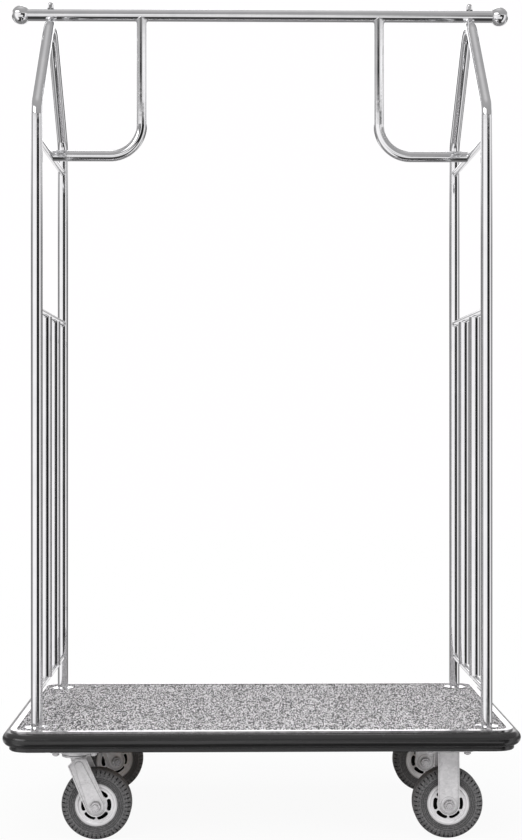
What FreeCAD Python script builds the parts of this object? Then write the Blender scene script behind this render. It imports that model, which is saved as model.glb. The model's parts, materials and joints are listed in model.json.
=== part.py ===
import FreeCAD, Part
import math
import os

# Hotel luggage cart: a carpeted deck on four casters, a hooped tube frame at each end,
# and a hanging rail across the top. Millimetres, +Z up, +X along the deck, origin on the
# floor under the middle of the deck. The front of the cart is on the -Y side.

Vector = FreeCAD.Vector
along_x = Vector(1, 0, 0)
along_y = Vector(0, 1, 0)
along_z = Vector(0, 0, 1)

# Fits
weld_gap = 0.1            # between pieces welded, pressed or screwed face to face
hole_clearance = 0.25     # radial, a bolt or post in its hole
running_clearance = 0.05  # radial, a bush on its sleeve or a fork on its king pin
turning_gap = 0.4         # between any other faces that turn past each other

# Deck, from the outside in
deck_length = 1100.0      # over the bumper
deck_width = 620.0        # over the bumper
deck_corner_radius = 55.0  # of the bumper in plan
bumper_depth = 17.0       # bulge beyond the trim
bumper_bulge_height = 29.5
bumper_drop = 5.0         # top of the bulge below the trim's top
bumper_lip_height = 9.0   # lip hanging under the bulge
bumper_lip_depth = 3.0
trim_sheet = 1.5
trim_height = 41.7
trim_flange_width = 13.0  # strip that shows round the carpet
carpet_thickness = 8.0
carpet_crush = 0.8        # pile pressed down under the trim and the post flanges
board_thickness = 18.0

# Underframe
frame_tube_width = 40.0
frame_tube_height = 25.0
frame_tube_wall = 2.0
long_tube_height = 16.0   # front and rear tubes, shallower than the end tubes
end_tube_overhang = 18.0  # end tubes beyond the post axes
frame_inset = 8.0         # from the trim's face to the front and rear tubes
channel_width = 110.0
channel_wall = 3.0
channel_gap = 5.0         # between a caster channel and the end tube beside it

# End frames, heights above the carpet
post_inset = 53.0         # post axis in from the trim's face, along X and along Y
tube_diameter = 25.0      # posts, bars and rail brackets
tube_wall = 1.5
shoulder_rise = 1324.0    # where the post's line meets the sloping tube's line
shoulder_bend_radius = 48.0
apex_bend_radius = 60.0
lower_crossbar_rise = 76.0
mid_crossbar_rise = 890.0
upper_crossbar_rise = 1259.0
crossbar_diameter = 14.0
crossbar_wall = 1.2
bar_spacing = 160.0       # between the two upright bars at one end
notch_depth = 2.0         # how far a notched tube end reaches over a crossbar

# Hanging rail and its brackets
rail_rise = 1581.0        # rail axis above the carpet
rail_diameter = 28.0
rail_wall = 1.5
finial_diameter = 43.0
finial_overhang = 68.0    # ball centre beyond the posts
finial_spigot_length = 18.0
bracket_reach = 208.0     # bracket's upright leg in from the posts
bracket_bend_radius = 72.0

# Post feet
flange_diameter = 50.0
flange_thickness = 3.0
flange_edge = 1.6
plug_length = 30.0
post_bolt_diameter = 10.0
post_bolt_grip = 24.0     # thread inside the plug
access_hole_diameter = 24.0

# Bolts through the rail and the hoops
rail_bolt_diameter = 8.0
rail_bolt_head_diameter = 15.0
rail_bolt_head_height = 4.5
dome_nut_flats = 12.0
dome_nut_height = 8.0
dome_nut_washer_diameter = 16.0
dome_nut_washer_height = 1.6

# Casters
wheel_diameter = 150.0
tyre_width = 44.0
rim_diameter = 91.0
caster_inset_y = 35.0     # wheel middle in from the posts
caster_trail = 45.0       # wheel axle behind the swivel pivot
rear_swivel_turn = 21.0   # degrees the rear swivel caster is turned from the front one
wheel_headroom = 27.0     # tyre to fork crown
fork_gap = 54.0           # between the legs
fork_sheet = 3.5
fork_bend_radius = 5.0    # inside
fork_leg_top_width = 45.0
fork_leg_end_radius = 23.0
fork_shoulder = 28.0      # corner cut off the leading side of a swivel leg, at the crown
fork_edge_width = 2.5     # turned edge round a leg
fork_edge_height = 1.2
fork_panel_radius = 9.0   # raised panel of a swivel leg, at the crown
fork_panel_height = 1.8
fork_panel_rounding = 1.2
fork_panel_gap = 1.5      # panel to the turned edge, at the crown
fork_boss_radius = 17.0   # raised boss about the axle
race_height = 10.0        # fork crown to top plate
race_skirt_radius = 32.0
race_skirt_wall = 2.0
race_radius = 21.0        # pitch circle of the balls
ball_diameter = 6.0
ball_count = 18
plate_length = 105.0
plate_width = 85.0
plate_corner_radius = 9.0
plate_hole_spacing_x = 80.0
plate_hole_spacing_y = 60.0
caster_bolt_diameter = 8.0
caster_bolt_flats = 13.0
caster_bolt_head_height = 5.3
caster_nut_height = 6.5
king_pin_diameter = 12.0
king_pin_head_diameter = 24.0
king_pin_head_height = 7.0

# Axles and wheels
axle_diameter = 12.0
axle_flats = 19.0
axle_head_height = 7.5
axle_nut_height = 10.0
axle_thread_showing = 3.0
sleeve_wall = 2.0
spacer_diameter = 20.0
bearing_diameter = 30.0
bearing_width = 9.0
hub_wall = 4.0
hub_side_gap = 2.9        # hub's end to the fork leg, taken up by a spacer
rim_disc_setback = 5.0    # rim disc face in from the hub's end
rim_disc_sheet = 3.0
rim_web_sheet = 3.0       # middle web, which closes the slots
rim_barrel_wall = 3.5
rim_flange_width = 4.5
rim_well_depth = 4.0
rim_slot_count = 6
rim_slot_radius = 28.2
rim_slot_width = 8.4
rim_slot_angle = 52.0
tyre_tread_width = 27.0
tyre_shoulder_drop = 8.0
tyre_groove_spacing = 8.0
tyre_groove_width = 2.6
tyre_groove_depth = 2.0
tyre_notch_count = 46     # cross notches in each shoulder
tyre_notch_width = 2.8
tyre_notch_tail_depth = 1.6  # where a notch runs down the side wall
tyre_ring_count = 3       # grooves round each side wall
tyre_ring_width = 1.6
tyre_ring_depth = 0.9
tyre_shoulder_setback = 1.0  # shoulder in from the tyre's widest line

# Levels, floor upward
axle_z = wheel_diameter / 2
crown_bottom_z = wheel_diameter + wheel_headroom
crown_top_z = crown_bottom_z + fork_sheet
plate_bottom_z = crown_top_z + race_height
plate_top_z = plate_bottom_z + fork_sheet
frame_top_z = plate_top_z + frame_tube_height
board_top_z = frame_top_z + board_thickness
carpet_top_z = board_top_z + carpet_thickness
crushed_top_z = carpet_top_z - carpet_crush
trim_top_z = crushed_top_z + trim_sheet
lower_crossbar_z = carpet_top_z + lower_crossbar_rise
mid_crossbar_z = carpet_top_z + mid_crossbar_rise
upper_crossbar_z = carpet_top_z + upper_crossbar_rise
shoulder_z = carpet_top_z + shoulder_rise
rail_z = carpet_top_z + rail_rise

# Half sizes and radii
post_x = deck_length / 2 - bumper_depth - post_inset
post_y = deck_width / 2 - bumper_depth - post_inset
tube_radius = tube_diameter / 2
crossbar_radius = crossbar_diameter / 2
rail_radius = rail_diameter / 2
caster_x = post_x - frame_tube_width / 2 - channel_gap - channel_width / 2
caster_y = post_y - caster_inset_y
finial_x = post_x + finial_overhang
fork_inner_y = fork_gap / 2
fork_outer_y = fork_inner_y + fork_sheet
hub_half_width = fork_inner_y - hub_side_gap
apex_z = rail_z - rail_radius - tube_radius - weld_gap
post_corners = [(side_x, side_y) for side_x in (-post_x, post_x) for side_y in (-post_y, post_y)]
ends = [("left", -1), ("right", 1)]


def cylinder(start, end, radius):
    return Part.makeCylinder(radius, (end - start).Length, start, end - start)


def upright(x, y, z_low, z_high, radius):
    return cylinder(Vector(x, y, z_low), Vector(x, y, z_high), radius)


def tube(start, end, radius, wall):
    return cylinder(start, end, radius).cut(cylinder(start, end, radius - wall))


def polygon_face(points):
    return Part.Face(Part.makePolygon(points + points[:1]))


def rounded_slab(length, width, corner_radius, z_low, z_high):
    block = Part.makeBox(length, width, z_high - z_low, Vector(-length / 2, -width / 2, z_low))
    corners = [edge for edge in block.Edges if edge.BoundBox.ZLength > edge.BoundBox.DiagonalLength / 2]
    return block.makeFillet(corner_radius, corners)


def deck_slab(inset, z_low, z_high):
    """Slab of the deck's plan, set in from the bumper's outer face."""
    return rounded_slab(
        deck_length - 2 * inset, deck_width - 2 * inset, deck_corner_radius - inset, z_low, z_high)


def bent_path(corners, bend_radii):
    """Centreline through corner points, each inner corner rounded to its bend radius."""
    edges = []
    here = corners[0]
    for before, corner, after, radius in zip(corners, corners[1:], corners[2:], bend_radii):
        back = (before - corner).normalize()
        ahead = (after - corner).normalize()
        half_angle = back.getAngle(ahead) / 2
        reach = radius / math.tan(half_angle)
        inward = (back + ahead).normalize()
        middle = corner + inward * (radius / math.sin(half_angle) - radius)
        edges.append(Part.makeLine(here, corner + back * reach))
        edges.append(Part.Arc(corner + back * reach, middle, corner + ahead * reach).toShape())
        here = corner + ahead * reach
    edges.append(Part.makeLine(here, corners[-1]))
    return Part.Wire(edges)


def bent_tube(corners, bend_radii, radius, wall):
    path = bent_path(corners, bend_radii)
    start_direction = corners[1] - corners[0]
    skins = []
    for ring_radius in (radius, radius - wall):
        ring = Part.Wire(Part.makeCircle(ring_radius, corners[0], start_direction))
        skins.append(path.makePipeShell([ring], True, False))
    return skins[0].cut(skins[1])


def hexagon(across_flats, z_low, z_high):
    radius = across_flats / 2 / math.cos(math.pi / 6)
    points = []
    for step in range(6):
        angle = step * math.pi / 3
        points.append(Vector(radius * math.cos(angle), radius * math.sin(angle), z_low))
    prism = polygon_face(points).extrude(Vector(0, 0, z_high - z_low))
    # Turned corners, as on a forged head
    cone_height = radius * 2
    cone_base = Vector(0, 0, z_high - cone_height)
    chamfer = Part.makeCone(radius + cone_height, radius * 0.93, cone_height, cone_base)
    return prism.common(chamfer)


def moved(shape, x, y, z=0.0):
    copy = shape.copy()
    copy.translate(Vector(x, y, z))
    return copy


def turned(shape, angle, axis=along_z, centre=Vector(0, 0, 0)):
    copy = shape.copy()
    copy.rotate(centre, axis, angle)
    return copy


def save(name, *solids):
    shape = solids[0] if len(solids) == 1 else Part.makeCompound(list(solids))
    shape.exportStep("parts/" + name + ".step")


def deck_pieces():
    trim_face = bumper_depth
    trim_inside = trim_face + trim_sheet
    board_inset = trim_inside + weld_gap
    flange_inset = trim_face + trim_flange_width

    board = deck_slab(board_inset, frame_top_z, board_top_z)
    backing = deck_slab(board_inset, board_top_z, crushed_top_z)
    pile = deck_slab(flange_inset + weld_gap, crushed_top_z, carpet_top_z)
    carpet = backing.fuse(pile).removeSplitter()
    post_hole_radius = tube_radius + hole_clearance
    for x, y in post_corners:
        post_hole = upright(x, y, frame_top_z, carpet_top_z, post_hole_radius)
        board = board.cut(post_hole)
        recess = upright(x, y, crushed_top_z, carpet_top_z, flange_diameter / 2 + hole_clearance)
        carpet = carpet.cut(post_hole).cut(recess)
    save("deck_board", board)
    save("deck_carpet", carpet)

    trim = deck_slab(trim_face, trim_top_z - trim_height, trim_top_z)
    trim = trim.cut(deck_slab(trim_inside, trim_top_z - trim_height, crushed_top_z))
    trim = trim.cut(deck_slab(flange_inset, crushed_top_z, trim_top_z))
    save("deck_trim", trim)


def bumper():
    """Rubber extrusion carried round the trim: a D-shaped bulge over a hanging lip."""
    half_length = deck_length / 2 - bumper_depth
    half_width = deck_width / 2 - bumper_depth
    bulge_top_z = trim_top_z - bumper_drop
    bulge_bottom_z = bulge_top_z - bumper_bulge_height
    bulge_middle_z = (bulge_top_z + bulge_bottom_z) / 2
    lip_bottom_z = bulge_bottom_z - bumper_lip_height
    lip_rounding = bumper_lip_depth / 2

    def section_point(out, z):
        return Vector(0, -half_width - out, z)

    foot = section_point(weld_gap, lip_bottom_z)
    lip_low = section_point(bumper_lip_depth - lip_rounding, lip_bottom_z)
    lip_edge = section_point(bumper_lip_depth, lip_bottom_z + lip_rounding)
    lip_high = section_point(bumper_lip_depth, bulge_bottom_z)
    nose = section_point(bumper_depth, bulge_middle_z)
    crest = section_point(bumper_lip_depth, bulge_top_z)
    top = section_point(weld_gap, bulge_top_z)
    section = Part.Wire([
        Part.makeLine(foot, lip_low),
        Part.makeLine(lip_low, lip_edge),
        Part.makeLine(lip_edge, lip_high),
        Part.Arc(lip_high, nose, crest).toShape(),
        Part.makeLine(crest, top),
        Part.makeLine(top, foot),
    ])
    corners = [
        Vector(0, -half_width, 0),
        Vector(half_length, -half_width, 0),
        Vector(half_length, half_width, 0),
        Vector(-half_length, half_width, 0),
        Vector(-half_length, -half_width, 0),
        Vector(0, -half_width, 0),
    ]
    path = bent_path(corners, [deck_corner_radius - bumper_depth] * 4)
    save("bumper", path.makePipeShell([section], True, False))


def frame_tube(start, end, across, height):
    """Rectangular underframe tube with its top at the board; across is its sideways direction."""
    def bar(width, height, z_low):
        low = start - across * (width / 2) + along_z * z_low
        corners = [low, low + across * width, low + across * width + along_z * height, low + along_z * height]
        return polygon_face(corners).extrude(end - start)

    outer = bar(frame_tube_width, height, frame_top_z - height)
    return outer.cut(bar(
        frame_tube_width - 2 * frame_tube_wall,
        height - 2 * frame_tube_wall,
        frame_top_z - height + frame_tube_wall))


def underframe():
    long_y = deck_width / 2 - bumper_depth - frame_inset - frame_tube_width / 2
    end_y = post_y + end_tube_overhang
    long_end_x = post_x - frame_tube_width / 2 - weld_gap
    rails = []
    for x in (-post_x, post_x):
        rail = frame_tube(Vector(x, -end_y, 0), Vector(x, end_y, 0), along_x, frame_tube_height)
        for y in (-post_y, post_y):
            bolt_hole = upright(
                x, y, frame_top_z - frame_tube_wall, frame_top_z, post_bolt_diameter / 2 + hole_clearance)
            access_hole = upright(x, y, plate_top_z, plate_top_z + frame_tube_wall, access_hole_diameter / 2)
            rail = rail.cut(bolt_hole).cut(access_hole)
        rails.append(rail)
    for y in (-long_y, long_y):
        left_end = Vector(-long_end_x, y, 0)
        right_end = Vector(long_end_x, y, 0)
        rails.append(frame_tube(left_end, right_end, along_y, long_tube_height))
    save("underframe_rails", *rails)

    channel_end_y = long_y - frame_tube_width / 2 - weld_gap
    channels = []
    for x in (-caster_x, caster_x):
        block = Part.makeBox(
            channel_width, 2 * channel_end_y, frame_tube_height,
            Vector(x - channel_width / 2, -channel_end_y, plate_top_z))
        trough = Part.makeBox(
            channel_width - 2 * channel_wall, 2 * channel_end_y, frame_tube_height - channel_wall,
            Vector(x - channel_width / 2 + channel_wall, -channel_end_y, plate_top_z + channel_wall))
        channel = block.cut(trough)
        for y in (-caster_y, caster_y):
            channel = channel.cut(moved(caster_bolt_holes(plate_top_z, plate_top_z + channel_wall), x, y))
        channels.append(channel)
    save("caster_channels", *channels)


def hoop_slope_corner_z():
    """Height where the two sloping lines of a hoop would cross above its rounded apex."""
    rise = apex_z - shoulder_z - apex_bend_radius
    reach = math.hypot(post_y, rise)
    slope = math.atan2(rise, post_y) + math.asin(apex_bend_radius / reach)
    return shoulder_z + post_y * math.tan(slope)


def hoop(x):
    corners = [
        Vector(x, -post_y, frame_top_z),
        Vector(x, -post_y, shoulder_z),
        Vector(x, 0, hoop_slope_corner_z()),
        Vector(x, post_y, shoulder_z),
        Vector(x, post_y, frame_top_z),
    ]
    bends = [shoulder_bend_radius, apex_bend_radius, shoulder_bend_radius]
    bolt_hole = upright(
        x, 0, apex_z - tube_diameter, apex_z + tube_diameter, rail_bolt_diameter / 2 + hole_clearance)
    return bent_tube(corners, bends, tube_radius, tube_wall).cut(bolt_hole)


def crossbar(x, z):
    """Thin tube between two posts, its ends coped to them."""
    bar = tube(Vector(x, -post_y, z), Vector(x, post_y, z), crossbar_radius, crossbar_wall)
    for y in (-post_y, post_y):
        bar = bar.cut(upright(x, y, z - tube_diameter, z + tube_diameter, tube_radius + weld_gap))
    return bar


def crossbar_cutter(x, z):
    return cylinder(Vector(x, -post_y, z), Vector(x, post_y, z), crossbar_radius + weld_gap)


def upright_bar(x, y):
    """Bar between the lower and middle crossbars, notched over both."""
    low_z = lower_crossbar_z + crossbar_radius - notch_depth
    high_z = mid_crossbar_z - crossbar_radius + notch_depth
    bar = tube(Vector(x, y, low_z), Vector(x, y, high_z), tube_radius, tube_wall)
    return bar.cut(crossbar_cutter(x, lower_crossbar_z)).cut(crossbar_cutter(x, mid_crossbar_z))


def rail_bracket(side):
    """J-shaped tube from under the rail, bent out to the upper crossbar of one end."""
    leg_x = side * (post_x - bracket_reach)
    tip_x = side * (post_x - crossbar_radius + notch_depth)
    corners = [
        Vector(leg_x, 0, rail_z), Vector(leg_x, 0, upper_crossbar_z), Vector(tip_x, 0, upper_crossbar_z)]
    bracket = bent_tube(corners, [bracket_bend_radius], tube_radius, tube_wall)
    rail_cutter = cylinder(
        Vector(leg_x - tube_diameter, 0, rail_z), Vector(leg_x + tube_diameter, 0, rail_z),
        rail_radius + weld_gap)
    return bracket.cut(rail_cutter).cut(crossbar_cutter(side * post_x, upper_crossbar_z))


def end_frames():
    for end, side in ends:
        x = side * post_x
        save(end + "_hoop", hoop(x))
        save(end + "_lower_crossbar", crossbar(x, lower_crossbar_z))
        save(end + "_mid_crossbar", crossbar(x, mid_crossbar_z))
        save(end + "_upper_crossbar", crossbar(x, upper_crossbar_z))
        save(end + "_upright_bars", *[upright_bar(x, y) for y in (-bar_spacing / 2, bar_spacing / 2)])
        save(end + "_rail_bracket", rail_bracket(side))


def hanging_rail():
    ball_radius = finial_diameter / 2
    seat = math.sqrt(ball_radius ** 2 - rail_radius ** 2)
    end_x = finial_x - seat
    rail = tube(Vector(-end_x, 0, rail_z), Vector(end_x, 0, rail_z), rail_radius, rail_wall)
    for x in (-post_x, post_x):
        rail = rail.cut(upright(
            x, 0, rail_z - rail_diameter, rail_z + rail_diameter, rail_bolt_diameter / 2 + hole_clearance))
    save("hanging_rail", rail)

    for end, side in ends:
        ball = Part.makeSphere(ball_radius, Vector(side * finial_x, 0, rail_z))
        cut_away = cylinder(Vector(0, 0, rail_z), Vector(side * end_x, 0, rail_z), finial_diameter)
        spigot = cylinder(
            Vector(side * (end_x - finial_spigot_length), 0, rail_z), Vector(side * end_x, 0, rail_z),
            rail_radius - rail_wall - weld_gap)
        save(end + "_finial", ball.cut(cut_away).fuse(spigot))


def rail_fasteners():
    """A round-headed bolt up through each hoop's apex and the rail, with a dome nut on top."""
    arch_radius = apex_bend_radius - tube_radius
    head_radius = rail_bolt_head_diameter / 2
    arch_sag = arch_radius - math.sqrt(arch_radius ** 2 - head_radius ** 2)
    head_top_z = apex_z - tube_radius - arch_sag - weld_gap
    nut_z = rail_z + rail_radius
    bore_top_z = nut_z + dome_nut_washer_height + dome_nut_height
    dome_radius = dome_nut_flats / 2
    bolts = []
    nuts = []
    for x in (-post_x, post_x):
        head = upright(x, 0, head_top_z - rail_bolt_head_height, head_top_z, head_radius)
        head = head.makeFillet(
            rail_bolt_head_height * 0.7,
            [edge for edge in head.Edges if edge.BoundBox.ZMax < head_top_z - 1.0])
        shank = upright(x, 0, head_top_z, bore_top_z - weld_gap, rail_bolt_diameter / 2)
        bolts.append(head.fuse(shank))
        washer = upright(x, 0, nut_z, nut_z + dome_nut_washer_height, dome_nut_washer_diameter / 2)
        body = moved(hexagon(dome_nut_flats, nut_z + dome_nut_washer_height, bore_top_z), x, 0)
        dome = Part.makeSphere(dome_radius, Vector(x, 0, bore_top_z))
        bore = upright(x, 0, nut_z, bore_top_z, rail_bolt_diameter / 2 + weld_gap)
        nuts.append(washer.fuse(body).fuse(dome).cut(bore))
    save("rail_bolts", *bolts)
    save("rail_dome_nuts", *nuts)


def post_feet():
    """Cover flange, threaded plug inside the post and the bolt that pulls it down, at each post."""
    flange_inner = tube_radius + weld_gap
    flange_outer = flange_diameter / 2
    flange_profile = polygon_face([
        Vector(flange_inner, 0, crushed_top_z),
        Vector(flange_outer, 0, crushed_top_z),
        Vector(flange_outer, 0, crushed_top_z + flange_edge),
        Vector(flange_inner + flange_thickness, 0, crushed_top_z + flange_thickness),
        Vector(flange_inner, 0, crushed_top_z + flange_thickness),
    ])
    flange = flange_profile.revolve(Vector(0, 0, 0), along_z, 360)
    bolt_radius = post_bolt_diameter / 2
    plug = upright(0, 0, frame_top_z, frame_top_z + plug_length, tube_radius - tube_wall - weld_gap)
    plug = plug.cut(upright(0, 0, frame_top_z, frame_top_z + plug_length, bolt_radius + weld_gap))
    head_top_z = frame_top_z - frame_tube_wall
    head_height = post_bolt_diameter * 0.64
    head = turned(hexagon(post_bolt_diameter * 1.7, -head_top_z, -head_top_z + head_height), 180, along_x)
    bolt = head.fuse(upright(0, 0, head_top_z, frame_top_z + post_bolt_grip, bolt_radius))
    save("post_flanges", *[moved(flange, x, y) for x, y in post_corners])
    save("post_plugs", *[moved(plug, x, y) for x, y in post_corners])
    save("post_bolts", *[moved(bolt, x, y) for x, y in post_corners])


def caster_bolt_positions():
    half_x = plate_hole_spacing_x / 2
    half_y = plate_hole_spacing_y / 2
    return [(x, y) for x in (-half_x, half_x) for y in (-half_y, half_y)]


def caster_bolt_holes(z_low, z_high):
    radius = caster_bolt_diameter / 2 + hole_clearance
    return Part.makeCompound([upright(x, y, z_low, z_high, radius) for x, y in caster_bolt_positions()])


def caster_fasteners():
    head_z = plate_top_z + channel_wall
    nut_low_z = plate_bottom_z - caster_nut_height
    bolt_radius = caster_bolt_diameter / 2
    shank = upright(0, 0, nut_low_z - fork_sheet / 2, head_z, bolt_radius)
    bolt = hexagon(caster_bolt_flats, head_z, head_z + caster_bolt_head_height).fuse(shank)
    nut = turned(hexagon(caster_bolt_flats, -plate_bottom_z, -nut_low_z), 180, along_x)
    nut = nut.cut(upright(0, 0, nut_low_z, plate_bottom_z, bolt_radius + weld_gap))
    places = []
    for x in (-caster_x, caster_x):
        for y in (-caster_y, caster_y):
            places += [(x + hole_x, y + hole_y) for hole_x, hole_y in caster_bolt_positions()]
    save("caster_bolts", *[moved(bolt, x, y) for x, y in places])
    save("caster_nuts", *[moved(nut, x, y) for x, y in places])


def arch(half_width, bend_radius, top_z):
    """Long upside-down U block across a wheel, reaching below the axle."""
    reach = wheel_diameter
    low_z = axle_z - 2 * fork_leg_end_radius
    corner = bend_radius * (1 - math.sqrt(0.5))
    points = [
        Vector(-reach, -half_width, low_z),
        Vector(-reach, -half_width, top_z - bend_radius),
        Vector(-reach, -half_width + bend_radius, top_z),
        Vector(-reach, half_width - bend_radius, top_z),
        Vector(-reach, half_width, top_z - bend_radius),
        Vector(-reach, half_width, low_z),
    ]
    left_middle = Vector(-reach, -half_width + corner, top_z - corner)
    right_middle = Vector(-reach, half_width - corner, top_z - corner)
    wire = Part.Wire([
        Part.makeLine(points[0], points[1]),
        Part.Arc(points[1], left_middle, points[2]).toShape(),
        Part.makeLine(points[2], points[3]),
        Part.Arc(points[3], right_middle, points[4]).toShape(),
        Part.makeLine(points[4], points[5]),
        Part.makeLine(points[5], points[0]),
    ])
    return Part.Face(wire).extrude(Vector(2 * reach, 0, 0))


def leg_outline(trail, top_z, shoulder, trimmed=0.0):
    """Side view of a fork leg: a round end about the axle, a straight crown, one corner cut off there."""
    end_radius = fork_leg_end_radius - trimmed
    half_top = fork_leg_top_width / 2 - trimmed

    def touch_angle(x, side):
        run = x - trail
        rise = top_z - axle_z
        return math.atan2(rise, run) + side * math.acos(end_radius / math.hypot(run, rise))

    def on_end(angle):
        return Vector(trail + end_radius * math.cos(angle), 0, axle_z + end_radius * math.sin(angle))

    right_angle = touch_angle(half_top, -1)
    left_angle = touch_angle(-half_top, 1)
    bottom = on_end((right_angle + left_angle) / 2 - math.pi)
    top_right = Vector(half_top, 0, top_z)
    top_left = Vector(-half_top, 0, top_z)
    outline = Part.Face(Part.Wire([
        Part.makeLine(top_left, top_right),
        Part.makeLine(top_right, on_end(right_angle)),
        Part.Arc(on_end(right_angle), bottom, on_end(left_angle)).toShape(),
        Part.makeLine(on_end(left_angle), top_left),
    ]))
    if shoulder == 0:
        return outline
    along = Vector(1, 0, 1).normalize()
    outward = Vector(-1, 0, 1).normalize()
    start = Vector(shoulder - fork_leg_top_width / 2, 0, top_z) - outward * trimmed
    far = 2 * wheel_diameter
    corner = polygon_face([
        start - along * far, start + along * far,
        start + along * far + outward * far, start - along * far + outward * far])
    return outline.cut(corner).Faces[0]


def tapered_stadium(high, high_radius, low, low_radius):
    """Side view of a raised panel: two round ends joined by tangent lines."""
    along = (low - high).normalize()
    across = Vector(-along.z, 0, along.x)
    lean = (low_radius - high_radius) / (low - high).Length
    first = along * lean + across * math.sqrt(1 - lean ** 2)
    second = along * lean - across * math.sqrt(1 - lean ** 2)
    low_arc = Part.Arc(low + first * low_radius, low + along * low_radius, low + second * low_radius)
    high_arc = Part.Arc(high + second * high_radius, high - along * high_radius, high + first * high_radius)
    return Part.Face(Part.Wire([
        Part.makeLine(high + first * high_radius, low + first * low_radius),
        low_arc.toShape(),
        Part.makeLine(low + second * low_radius, high + second * high_radius),
        high_arc.toShape(),
    ]))


def pressed_panel(face, side):
    """Raised panel on a leg's outer face, its outer edge rounded as pressed sheet is."""
    panel = moved(face, 0, side * fork_outer_y).extrude(Vector(0, side * fork_panel_height, 0))
    rim_y = side * (fork_outer_y + fork_panel_height)
    rim = [edge for edge in panel.Edges if all(abs(corner.Y - rim_y) < weld_gap for corner in edge.Vertexes)]
    return panel.makeFillet(fork_panel_rounding, rim)


def fork_legs(trail, top_z, shoulder, panel_face):
    """Pressed yoke about the wheel: bent sheet with turned leg edges and a raised panel on each leg."""
    sheet = arch(fork_outer_y, fork_bend_radius + fork_sheet, top_z)
    sheet = sheet.cut(arch(fork_inner_y, fork_bend_radius, top_z - fork_sheet))
    outline = leg_outline(trail, top_z, shoulder)
    fork = sheet.common(moved(outline, 0, -wheel_diameter).extrude(Vector(0, 2 * wheel_diameter, 0)))
    edge_top_z = top_z - fork_bend_radius - fork_sheet
    below_bend = Part.makeBox(
        4 * wheel_diameter, 4 * wheel_diameter, edge_top_z,
        Vector(-2 * wheel_diameter, -2 * wheel_diameter, 0))
    edge_depth = Vector(0, fork_edge_height, 0)
    inside = leg_outline(trail, top_z, shoulder, fork_edge_width)
    edge = outline.extrude(edge_depth).cut(inside.extrude(edge_depth)).common(below_bend)
    for side in (-1, 1):
        edge_start = fork_outer_y if side > 0 else -fork_outer_y - fork_edge_height
        fork = fork.fuse(moved(edge, 0, edge_start)).fuse(pressed_panel(panel_face, side))
    axle_hole = cylinder(
        Vector(trail, -wheel_diameter, axle_z), Vector(trail, wheel_diameter, axle_z),
        axle_diameter / 2 + hole_clearance)
    return fork.cut(axle_hole)


def caster_plate():
    plate = rounded_slab(plate_length, plate_width, plate_corner_radius, plate_bottom_z, plate_top_z)
    return plate.cut(caster_bolt_holes(plate_bottom_z, plate_top_z))


def rigid_fork():
    boss = Part.Face(Part.Wire(Part.makeCircle(fork_boss_radius, Vector(0, 0, axle_z), along_y)))
    return fork_legs(0.0, plate_top_z, 0.0, boss).fuse(caster_plate()).removeSplitter()


def race_ring(inner_radius, outer_radius, z_low, z_high):
    return upright(0, 0, z_low, z_high, outer_radius).cut(upright(0, 0, z_low, z_high, inner_radius))


def swivel_pieces():
    """Top plate with its race and skirt, king pin, ball ring and turning fork, pivot on the Z axis."""
    pin_radius = king_pin_diameter / 2
    ball_radius = ball_diameter / 2
    ball_z = crown_top_z + race_height / 2
    race_land = (race_height - ball_diameter) / 2 + ball_radius / 2
    ring_inner = race_radius - ball_diameter * 0.75
    ring_outer = race_skirt_radius - race_skirt_wall - 4 * turning_gap
    skirt_inner = race_skirt_radius - race_skirt_wall
    skirt_low_z = crown_top_z + fork_sheet / 2

    upper_race = race_ring(ring_inner, ring_outer, plate_bottom_z - race_land, plate_bottom_z)
    upper_race = upper_race.cut(Part.makeTorus(race_radius, ball_radius + turning_gap, Vector(0, 0, ball_z)))
    skirt = race_ring(skirt_inner, race_skirt_radius, skirt_low_z, plate_bottom_z)
    pin_hole = upright(0, 0, plate_bottom_z, plate_top_z, pin_radius + weld_gap)
    plate = caster_plate().fuse(upper_race).fuse(skirt).cut(pin_hole)

    lower_race = race_ring(ring_inner, ring_outer, crown_top_z, crown_top_z + race_land)
    lower_race = lower_race.cut(Part.makeTorus(race_radius, ball_radius + weld_gap, Vector(0, 0, ball_z)))
    crown = upright(0, 0, crown_bottom_z, crown_top_z, fork_outer_y)
    panel_top = Vector(
        fork_leg_top_width / 2 - fork_edge_width - fork_panel_gap - fork_panel_radius, 0,
        crown_bottom_z - fork_bend_radius - fork_panel_gap - fork_panel_radius)
    panel = tapered_stadium(panel_top, fork_panel_radius, Vector(caster_trail, 0, axle_z), fork_boss_radius)
    fork = fork_legs(caster_trail, crown_top_z, fork_shoulder, panel).fuse(crown).fuse(lower_race)
    fork = fork.cut(upright(0, 0, crown_bottom_z, crown_top_z, pin_radius + running_clearance))

    balls = []
    for step in range(ball_count):
        angle = 2 * math.pi * step / ball_count
        centre = Vector(race_radius * math.cos(angle), race_radius * math.sin(angle), ball_z)
        balls.append(Part.makeSphere(ball_radius, centre))

    head_top_z = crown_bottom_z - turning_gap
    head_bottom_z = head_top_z - king_pin_head_height
    king_pin = upright(0, 0, head_top_z, plate_top_z, pin_radius)
    king_pin = king_pin.fuse(upright(0, 0, head_bottom_z, head_top_z, king_pin_head_diameter / 2))
    return plate, fork, balls, king_pin


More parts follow.
